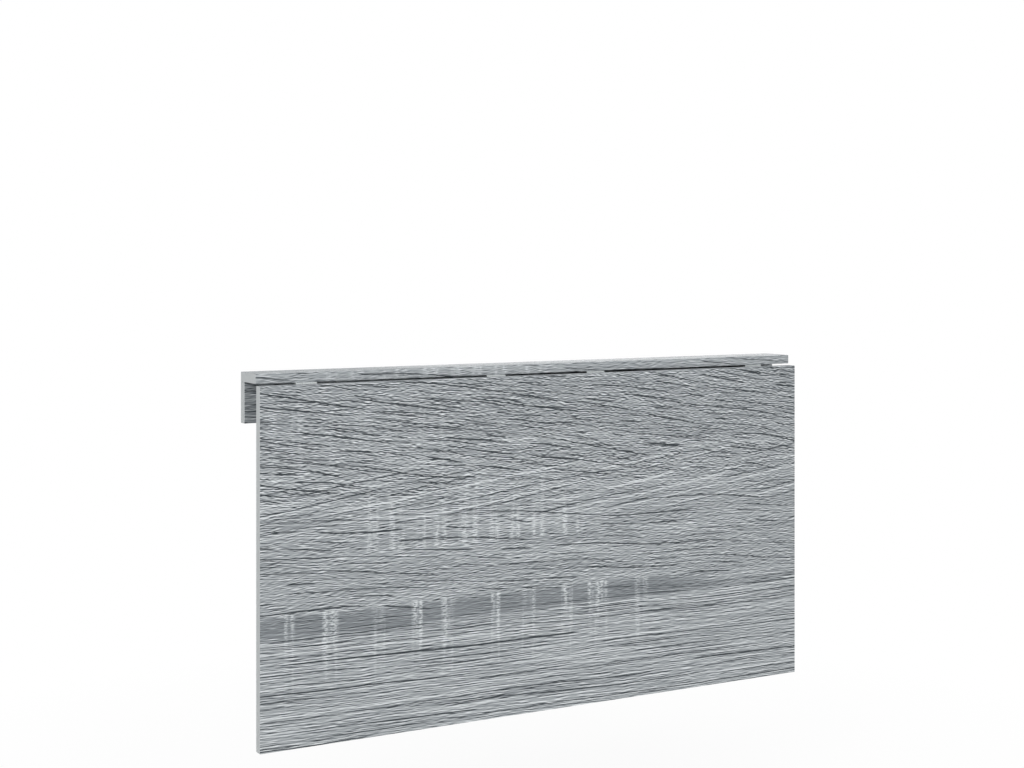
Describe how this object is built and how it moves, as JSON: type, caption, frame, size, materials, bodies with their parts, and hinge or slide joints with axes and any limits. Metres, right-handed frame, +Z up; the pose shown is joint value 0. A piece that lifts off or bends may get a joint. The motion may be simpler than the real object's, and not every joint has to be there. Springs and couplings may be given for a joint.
{
  "type": "wall mounted drop leaf table",
  "caption": "Wall mounted drop leaf table of grey oak boards, folded: a rail and post on the wall, a hinged leaf hanging down and a swing gate behind it that holds the leaf up.",
  "frame": {"origin": "midway between the rail's two wall screw holes, on the wall plane", "axes": "+Z up, +X along the wall, +Y into the wall, so the room is at -Y"},
  "size_m": [1, 0.0776, 0.56],
  "materials": {
    "grey_oak_board": "grey oak print on engineered wood, matt",
    "hinge_steel": "zinc plated pressed steel",
    "hinge_screw_steel": "zinc plated steel screw",
    "zinc_fitting": "die cast zinc alloy",
    "beech_dowel": "plain turned beech"
  },
  "bodies": {
    "wall_frame": {"cam_bolts": "zinc_fitting", "cam_locks": "zinc_fitting", "gate_hinge_lower_pin": "hinge_steel", "gate_hinge_lower_post_plate": "hinge_steel", "gate_hinge_upper_pin": "hinge_steel", "gate_hinge_upper_post_plate": "hinge_steel", "leaf_hinge_1_pin": "hinge_steel", "leaf_hinge_1_rail_plate": "hinge_steel", "leaf_hinge_2_pin": "hinge_steel", "leaf_hinge_2_rail_plate": "hinge_steel", "leaf_hinge_3_pin": "hinge_steel", "leaf_hinge_3_rail_plate": "hinge_steel", "leaf_hinge_4_pin": "hinge_steel", "leaf_hinge_4_rail_plate": "hinge_steel", "post_dowels": "beech_dowel", "post_hinge_screws": "hinge_screw_steel", "rail_dowels": "beech_dowel", "rail_hinge_screws": "hinge_screw_steel", "rail_top_board": "grey_oak_board", "wall_board": "grey_oak_board", "wall_post": "grey_oak_board"},
    "drop_leaf": {"leaf_board": "grey_oak_board", "leaf_hinge_1_leaf_plate": "hinge_steel", "leaf_hinge_2_leaf_plate": "hinge_steel", "leaf_hinge_3_leaf_plate": "hinge_steel", "leaf_hinge_4_leaf_plate": "hinge_steel", "leaf_hinge_screws": "hinge_screw_steel"},
    "gate": {"gate_arm": "grey_oak_board", "gate_brace": "grey_oak_board", "gate_dowels": "beech_dowel", "gate_hinge_lower_gate_plate": "hinge_steel", "gate_hinge_screws": "hinge_screw_steel", "gate_hinge_upper_gate_plate": "hinge_steel", "gate_stile": "grey_oak_board"}
  },
  "joints": [
    {"name": "leaf_fold", "type": "hinge", "parent": "wall_frame", "child": "drop_leaf", "pos_m": [0, -0.0605, 0.02895], "axis": [-1, 0, 0], "range_deg": [0, 90]},
    {"name": "gate_swing", "type": "hinge", "parent": "wall_frame", "child": "gate", "pos_m": [0.01955, -0.01705, -0.081], "axis": [0, 0, -1], "range_deg": [0, 3]}
  ]
}
